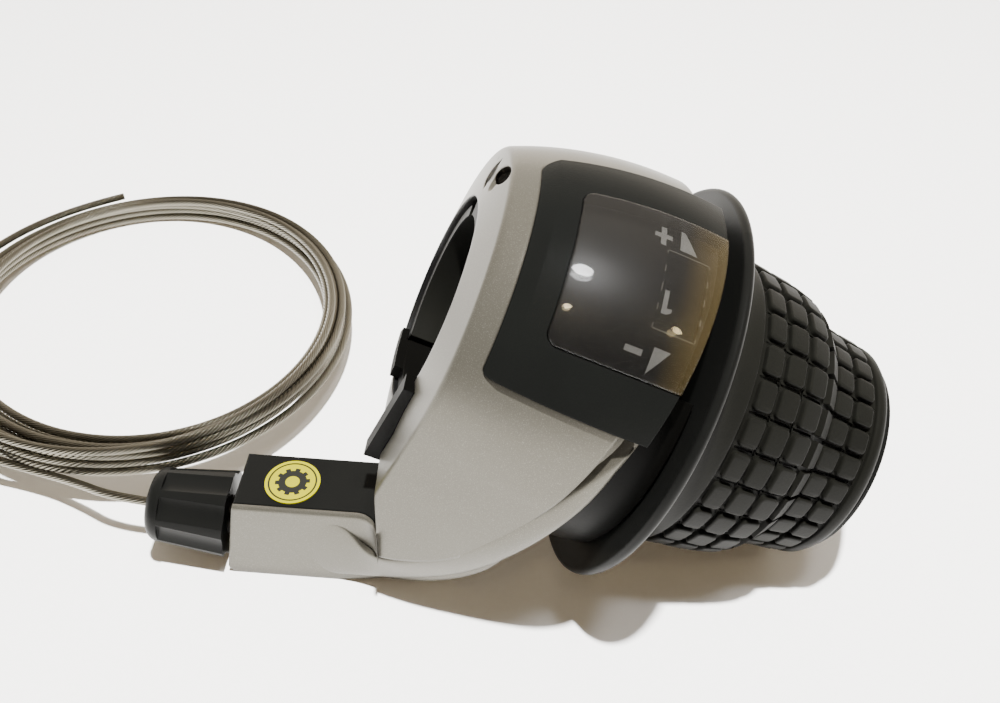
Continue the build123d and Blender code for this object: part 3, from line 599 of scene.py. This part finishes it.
# %% Label
LABEL_AT = (-0.0209, -0.01275)
TEETH, TOOTH, TOOTH_EDGE = 10.0, 0.0004, 0.15
HUB_EDGE, WHEEL_EDGE = (0.00088, 0.00094), (0.00180, 0.00186)
RIM_INSIDE, RIM_OUTSIDE = (0.00290, 0.00294), (0.00312, 0.00316)
yellow = Finish("yellow_label_film")
fade = yellow.noise(scale=300.0, detail=3.0)
label_x, label_y = [yellow.axis(yellow.place(), number) - LABEL_AT[number] for number in range(2)]
reach = (label_x * label_x + label_y * label_y) ** 0.5
turn = yellow.node("ShaderNodeMath", {"operation": "ARCTAN2"}, label_y, label_x)
wave = yellow.node("ShaderNodeMath", {"operation": "SINE"}, turn * TEETH)
teeth = yellow.ramp(wave, -TOOTH_EDGE, TOOTH_EDGE)
wheel = (1 - yellow.ramp(reach - TOOTH * teeth, *WHEEL_EDGE)) * yellow.ramp(reach, *HUB_EDGE)
rim = yellow.ramp(reach, *RIM_INSIDE) * (1 - yellow.ramp(reach, *RIM_OUTSIDE))
film = yellow.mix(fade, colour(0.225, 0.208, 0.0), colour(0.255, 0.238, 0.0))
yellow.set(
    Base_Color=yellow.mix(wheel + rim, film, colour(0.012, 0.012, 0.010)),
    Roughness=0.30 + 0.1 * fade,
    Specular_IOR_Level=0.05,
)
print("label ready")


# %% Inks and a painted highlight
def inked(name, dark, light):
    finish = Finish(name)
    grain = finish.noise(scale=2500.0)
    finish.set(Base_Color=finish.mix(grain, colour(*dark), colour(*light)), Roughness=0.5)
    return finish


ink = inked("pale_ink", (0.34, 0.33, 0.30), (0.42, 0.41, 0.38))
# The second finish is a painted highlight, the light line round the number window.
highlight_ink = inked("highlight_ink", (0.17, 0.16, 0.13), (0.21, 0.20, 0.16))
print("inks ready")

# %% [markdown]
# ## Printing and a painted highlight behind the window
# A mask under the window carries a plus and a minus with their arrows, and a ring of gear
# numbers turns past its opening. A thin light line round that opening is a painted highlight,
# standing for the light that the opening's edge catches. Ink has almost no thickness, so each
# mark starts as a flat filled circle with as many corners as the mark has. The corners are moved
# to their places on the unrolled dial, the face is cut finer, and then every vertex is wrapped
# round the barrel, just above the mask.

# %% Wrapping a flat mark
CROWN_R, CROWN_X, BARREL_ARC = 24.85, 17.3, 48.0
MARK_DEPTH = 0.915


def skin_radius(x, depth):
    return CROWN_R - BARREL_ARC + math.sqrt((BARREL_ARC - depth) ** 2 - (x - CROWN_X) ** 2)


def on_bar(x, degrees, radius):
    """Point of the bar frame by station, angle and radius in mm, laid on the table."""
    angle = math.radians(degrees)
    return LIE @ Vector((x * MM, -radius * math.sin(angle) * MM, radius * math.cos(angle) * MM))


def cut_finer(piece, cuts):
    open_alone(piece)
    bpy.ops.mesh.quads_convert_to_tris()
    bpy.ops.mesh.subdivide(number_cuts=cuts)
    bpy.ops.object.mode_set(mode="OBJECT")


def flat_mark(name, corners, radius=None):
    """Mark from its corners, given as station in mm and angle in degrees."""
    bpy.ops.object.select_all(action="DESELECT")
    bpy.ops.mesh.primitive_circle_add(vertices=len(corners), radius=MM, fill_type="NGON",
                                      location=(0, 0, 0))
    mark = bpy.context.object
    mark.name = name
    for vertex, (x, degrees) in zip(mark.data.vertices, corners):
        vertex.co = (x, degrees, 0.0)
    cut_finer(mark, cuts=3)
    for vertex in mark.data.vertices:
        x, degrees = vertex.co.x, vertex.co.y
        vertex.co = on_bar(x, degrees, radius or skin_radius(x, MARK_DEPTH))
    return mark


def box(x0, x1, a0, a1):
    return [(x0, a0), (x1, a0), (x1, a1), (x0, a1)]


def join_as(name, pieces):
    bpy.ops.object.select_all(action="DESELECT")
    for piece in pieces:
        piece.select_set(True)
    bpy.context.view_layer.objects.active = pieces[0]
    bpy.ops.object.join()
    pieces[0].name = name
    return pieces[0]


print("ink lies", MARK_DEPTH, "mm under the barrel's skin")

# %% Plus, minus and arrows
PLUS_X, PLUS_A, ARM_X, ARM_A, THICK_X, THICK_A = 14.4, 9.1, 1.06, 3.2, 0.32, 0.78
PLUS = [(PLUS_X + ARM_X * i + THICK_X * j, PLUS_A + ARM_A * k + THICK_A * m) for i, j, k, m in (
    (0, -1, -1, 0), (0, 1, -1, 0), (0, 1, 0, -1), (1, 0, 0, -1), (1, 0, 0, 1), (0, 1, 0, 1),
    (0, 1, 1, 0), (0, -1, 1, 0), (0, -1, 0, 1), (-1, 0, 0, 1), (-1, 0, 0, -1), (0, -1, 0, -1))]
dial_marks = join_as("dial_marks", [
    flat_mark("plus", PLUS),
    flat_mark("plus_arrow", [(16.55, 2.8), (18.6, 12.1), (16.45, 12.0)]),
    flat_mark("minus", box(12.85, 14.9, 43.0, 44.7)),
    flat_mark("minus_arrow", [(16.0, 41.2), (18.0, 41.3), (15.95, 48.6)]),
])
dial_marks.data.materials.append(ink.material)
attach(dial_marks, "housing")
print("dial marks", len(dial_marks.data.polygons), "faces")

# %% Painted highlight round the number window
LEFT, RIGHT, UPPER, LOWER = 15.1, 20.2, 13.5, 36.5
LINE_X, LINE_A = 0.13, 0.32
# Painted highlight: four thin light lines stand for the light caught by the opening's edge.
window_edge_highlight = join_as("window_edge_highlight", [
    flat_mark("frame_left", box(LEFT - LINE_X, LEFT, UPPER, LOWER)),
    flat_mark("frame_right", box(RIGHT, RIGHT + LINE_X, UPPER, LOWER)),
    flat_mark("frame_upper", box(LEFT, RIGHT, UPPER - LINE_A, UPPER)),
    flat_mark("frame_lower", box(LEFT, RIGHT, LOWER, LOWER + LINE_A)),
])
window_edge_highlight.data.materials.append(highlight_ink.material)
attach(window_edge_highlight, "housing")
print("number frame", len(window_edge_highlight.data.polygons), "faces")

# %% Gear numbers
GEARS, GEAR_STEP = 7, 21.0
NUMBER_R, NUMBER_X, NUMBER_A = 21.215, 17.1, 25.3
DIGIT_SIZE, DIGIT_SWELL = 4.0, 0.06
ONE = [(16.62, 21.4), (17.2, 21.4), (17.2, 27.3), (17.85, 27.0), (17.85, 28.3), (17.2, 29.3),
       (16.62, 29.3)]


def gear_number(gear):
    """One digit, which stands upright for the rider."""
    bpy.ops.object.select_all(action="DESELECT")
    bpy.ops.object.text_add(location=(0, 0, 0))
    digit = bpy.context.object
    digit.data.body = str(gear)
    digit.data.size = DIGIT_SIZE * MM
    digit.data.offset = DIGIT_SWELL * MM
    digit.data.align_x = "CENTER"
    digit.data.align_y = "CENTER"
    bpy.ops.object.convert(target="MESH")
    digit = bpy.context.object
    cut_finer(digit, cuts=2)
    for vertex in digit.data.vertices:
        degrees = NUMBER_A + GEAR_STEP * (gear - 1) + math.degrees(vertex.co.y / MM / NUMBER_R)
        vertex.co = on_bar(NUMBER_X - vertex.co.x / MM, degrees, NUMBER_R)
    return digit


digits = [flat_mark("gear_one", ONE, NUMBER_R)]
digits += [gear_number(gear) for gear in range(2, GEARS + 1)]
numbers = join_as("gear_numbers", digits)
numbers.data.materials.append(ink.material)
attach(numbers, "twist")
print("gear numbers", len(numbers.data.polygons), "faces")

# %% [markdown]
# ## Belt of the housing
# Under the front panel the silver shell has a raised belt. It grows out of the arm, sweeps below
# the panel and thins out towards the window. Its face runs between two rails, one along the top
# edge and one along the bottom. A grid is laid between them, a column for each station of the
# rails and a row for each point of the section, and a Subdivision modifier rounds it. A curve
# bevelled with a profile could only scale its section, and here the section changes its shape.

# %% Section of the belt
BELT_TOP = [
    (-19.53, -17.25, -20.87), (-14.58, -17.62, -20.99), (-12.67, -17.9, -23.24),
    (-11.45, -18.4, -25.33), (-9.69, -19.2, -26.04), (-7.45, -20.2, -25.14),
    (-4.05, -21.4, -23.1), (-0.16, -22.45, -20.38), (4.15, -23.45, -16.27),
    (7.86, -24.15, -12.18), (11.34, -24.75, -7.41), (15.05, -24.3, -3.42),
    (18.06, -23.4, -0.5), (20.42, -22.5, 1.63)]
BELT_BOTTOM = [
    (-20.81, -17.25, -32.84), (-15.55, -17.62, -32.73), (-12.23, -18.0, -32.12),
    (-9.25, -18.8, -30.95), (-5.74, -19.9, -29.18), (-2.33, -21.0, -27.1),
    (1.35, -22.0, -24.6), (4.75, -22.9, -21.48), (7.99, -23.7, -17.8),
    (10.94, -24.3, -14.04), (13.51, -24.75, -10.19), (16.36, -24.5, -6.27),
    (18.60, -23.6, -2.40), (20.45, -22.4, 1.25)]
BELT_ROUND, BELT_DEEP, BELT_FLANK, BELT_BULGE = 0.35, 2.2, 2.0, 0.15
FLANK_FROM, FLANK_OVER = 3, 3
INWARD = Vector((0.0, 1.0, 0.0))


def belt_section(station, top, bottom):
    """Points across the belt, from under the panel over its face and back inside."""
    top, bottom = Vector(top), Vector(bottom)
    down = (bottom - top).normalized()
    flank = BELT_FLANK * min(max((station - FLANK_FROM) / FLANK_OVER, 0.0), 1.0)
    return [
        top + INWARD * BELT_DEEP - down * flank,
        top + INWARD * BELT_ROUND,
        top + down * BELT_ROUND,
        (top + bottom) / 2 - INWARD * BELT_BULGE,
        bottom - down * BELT_ROUND,
        bottom + INWARD * BELT_ROUND,
        bottom + INWARD * BELT_DEEP,
    ]


rails = enumerate(zip(BELT_TOP, BELT_BOTTOM))
sections = [belt_section(station, *pair) for station, pair in rails]
across, along = len(sections[0]) - 1, len(sections) - 1
print("belt grid", along, "by", across)

# %% Belt
SMOOTHING = 3
bpy.ops.object.select_all(action="DESELECT")
bpy.ops.mesh.primitive_grid_add(x_subdivisions=along, y_subdivisions=across, size=1.0,
                                location=(0, 0, 0))
belt = bpy.context.object
belt.name = "housing_belt"
for vertex in belt.data.vertices:
    station = round((vertex.co.x + 0.5) * along)
    vertex.co = sections[station][round((vertex.co.y + 0.5) * across)] * MM
bpy.ops.object.modifier_add(type="SUBSURF")
belt.modifiers[-1].levels = SMOOTHING
bpy.ops.object.modifier_apply(modifier=belt.modifiers[-1].name)
open_alone(belt)
bpy.ops.mesh.normals_make_consistent(inside=False)
if sum(face.normal.y * face.area for face in belt.data.polygons) > 0:
    bpy.ops.mesh.flip_normals()
bpy.ops.object.mode_set(mode="OBJECT")
bpy.ops.object.shade_smooth()
belt.data.materials.append(silver.material)
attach(belt, "housing")
print("belt", len(belt.data.polygons), "faces")

# %% [markdown]
# ## Treaded grip
# The grip is a rubber sleeve with 27 rows and six columns of soft blocks. Its section is drawn
# vertex by vertex and spun round the bar in 162 steps, so each row is six steps wide: five for a
# block and one for the gap. The faces of the blocks are then extruded together, their upright
# edges are rounded, and last the rims of their tops. Copies of one block would do as well, but a
# spun skin leaves no seams between the blocks and the sleeve.

# %% Section of the grip
GROOVES = (31.0, 34.1, 37.4, 40.7, 43.0, 46.4, 49.7)
TREAD_R = (19.4, 19.05, 18.7, 17.9, 15.75, 15.15, 14.8)
TREAD_DEPTH, HALF_GAP = 0.8, 0.36
COLLAR = [(25.03, 21.4), (25.6, 20.87), (26.22, 20.42), (26.89, 20.04), (27.6, 19.74),
          (28.35, 19.52), (29.1, 19.4), (29.9, 19.35), (30.4, 19.36), (30.6, 19.28),
          (30.68, 19.1), (30.72, 18.66)]
OPEN_END = [(50.02, 14.1), (50.06, 14.45), (50.2, 14.58), (50.8, 14.6), (51.26, 14.51),
            (51.65, 14.25), (51.91, 13.86), (52.0, 13.4), (52.0, 13.23), (43.0, 13.23),
            (39.7, 16.43), (25.03, 17.03)]


def floor_radius(x):
    """Radius of the sleeve between the blocks."""
    for k in range(len(GROOVES) - 1):
        if x <= GROOVES[k + 1]:
            share = (x - GROOVES[k]) / (GROOVES[k + 1] - GROOVES[k])
            return TREAD_R[k] + (TREAD_R[k + 1] - TREAD_R[k]) * share - TREAD_DEPTH
    return TREAD_R[-1] - TREAD_DEPTH


columns = [(a + HALF_GAP, b - HALF_GAP) for a, b in zip(GROOVES, GROOVES[1:])]
section = COLLAR + [(x, floor_radius(x)) for column in columns for x in column] + OPEN_END
print("section of", len(section), "points")

# %% Spun sleeve
ROWS, STEPS_A_ROW, TREAD_PHASE = 27, 6, 6.8
STEPS = ROWS * STEPS_A_ROW
HALF_BLOCK = (STEPS_A_ROW - 1) / 2 * 360 / STEPS
WELD = 0.02
bpy.ops.object.select_all(action="DESELECT")
bpy.ops.mesh.primitive_plane_add(size=MM, location=(0, 0, 0))
grip = bpy.context.object
grip.name = "tread_grip"
bpy.ops.object.mode_set(mode="EDIT")
bpy.ops.mesh.merge(type="CENTER")
bpy.ops.transform.translate(value=(section[0][0] * MM, 0, section[0][1] * MM))
for (x0, r0), (x1, r1) in zip(section, section[1:] + section[:1]):
    move = ((x1 - x0) * MM, 0, (r1 - r0) * MM)
    bpy.ops.mesh.extrude_region_move(TRANSFORM_OT_translate={"value": move})
bpy.ops.mesh.select_all(action="SELECT")
bpy.ops.mesh.spin(steps=STEPS, angle=2 * math.pi, center=(0, 0, 0), axis=(1, 0, 0))
bpy.ops.mesh.select_all(action="SELECT")
bpy.ops.mesh.remove_doubles(threshold=WELD * MM)
bpy.ops.mesh.normals_make_consistent(inside=False)
bpy.ops.object.mode_set(mode="OBJECT")
grip.data.transform(Matrix.Rotation(math.radians(TREAD_PHASE - HALF_BLOCK), 4, "X"))
print("spun grip", len(grip.data.polygons), "faces")

# %% [markdown]
# Blocks, tops and edges are found by their place. `rise` measures how far a point stands over the
# floor of the sleeve, so a face near the floor between two grooves is a block to be, a face well
# above it is a top, and an edge from the floor to one single top is an upright corner.

# %% Finding blocks, tops and edges
NEAR_FLOOR, LOW, HIGH, TOP = 0.3, 0.3 * TREAD_DEPTH, 0.7 * TREAD_DEPTH, 0.75 * TREAD_DEPTH
FACES_OUT = 0.3
HALF_STEP = 0.5 / STEPS_A_ROW


def pick(piece, kind, wanted):
    """Select the edges or faces of a piece in edit mode that pass a test."""
    bpy.ops.mesh.select_mode(type=kind)
    bpy.ops.mesh.select_all(action="DESELECT")
    mesh = bmesh.from_edit_mesh(piece.data)
    parts = mesh.edges if kind == "EDGE" else mesh.faces
    chosen = [part for part in parts if wanted(part)]
    for part in chosen:
        part.select_set(True)
    bmesh.update_edit_mesh(piece.data)
    return len(chosen)


def rise(place):
    """Height of a point over the sleeve's floor in mm, or a negative number off the tread."""
    x = place.x / MM
    if not GROOVES[0] < x < GROOVES[-1]:
        return -1.0
    return math.hypot(place.y, place.z) / MM - floor_radius(x)


def is_block(face):
    place = face.calc_center_median()
    in_column = any(a < place.x / MM < b for a, b in columns)
    row = ((math.degrees(math.atan2(-place.y, place.z)) - TREAD_PHASE) * ROWS / 360) % 1
    return rise(place) > -NEAR_FLOOR and in_column and HALF_STEP < row < 1 - HALF_STEP


def is_top(face):
    return rise(face.calc_center_median()) > TOP and face.normal.x ** 2 < FACES_OUT


def is_upright(edge):
    low, high = sorted(edge.verts, key=lambda v: rise(v.co))
    if rise(high.co) < HIGH or rise(low.co) > LOW:
        return False
    return sum(is_top(face) for face in high.link_faces) == 1


def is_rim(edge):
    return sum(is_top(face) for face in edge.link_faces) == 1


print("tops lie over", round(TOP, 2), "mm")

# %% Blocks of the tread
CORNER_ROUND, RIM_ROUND = 0.5, 0.24
open_alone(grip)
block_faces = pick(grip, "FACE", is_block)
bpy.ops.mesh.extrude_region_shrink_fatten(TRANSFORM_OT_shrink_fatten={"value": TREAD_DEPTH * MM})
uprights = pick(grip, "EDGE", is_upright)
bpy.ops.mesh.bevel(offset=CORNER_ROUND * MM, segments=2, affect="EDGES")
rims = pick(grip, "EDGE", is_rim)
bpy.ops.mesh.bevel(offset=RIM_ROUND * MM, segments=2, affect="EDGES")
bpy.ops.mesh.select_all(action="SELECT")
bpy.ops.mesh.normals_make_consistent(inside=False)
bpy.ops.object.mode_set(mode="OBJECT")
grip.data.transform(LIE)
bpy.ops.object.shade_smooth_by_angle(angle=SHARP)
bpy.ops.object.modifier_add(type="WEIGHTED_NORMAL")
grip.modifiers[-1].keep_sharp = True
bpy.ops.object.modifier_apply(modifier=grip.modifiers[-1].name)
grip.data.materials.append(rubber.material)
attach(grip, "twist")
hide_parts("grip_rubber")
print("blocks", block_faces, "faces,", uprights, "upright edges,", rims, "rim edges,",
      len(grip.data.polygons), "in all")

# %% [markdown]
# ## Finishes on the CAD nodes
# The solids' own meshes stay untouched, and each gets its finish in its material slots.

# %% Dress the nodes
DRESS = {
    silver: ["main_housing"],
    bezel_black: ["window_bezel"],
    satin_black: ["arm_cover", "adjuster_knob", "grip_core", "end_ring"],
    # The parts deep inside get the darker copy of the black plastic, as painted shade.
    shade_darkened_black: ["unit_base", "index_ring", "cable_winder"],
    dark_acetal: ["clamp_strap", "cable_guide"],
    ring_black: ["number_ring"],
    nylon: ["cable_liner", "thrust_washer"],
    bright_steel: ["clamp_bolt", "index_spring", "adjuster_nut", "cable_nipple"],
    strand_steel: ["cable_lead", "cable_wrap"],
    # The adjuster screw's near black colour is painted shade.
    shade_dark_screw: ["adjuster_screw"],
    smoked: ["window_lens"],
    dial_black: ["dial_mask"],
    yellow: ["arm_label"],
    rubber: ["grip_rubber"],
}
for finish, names in DRESS.items():
    for name in names:
        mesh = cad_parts[name].data
        mesh.materials.clear()
        mesh.materials.append(finish.material)
print("dressed", sum(len(names) for names in DRESS.values()), "nodes")
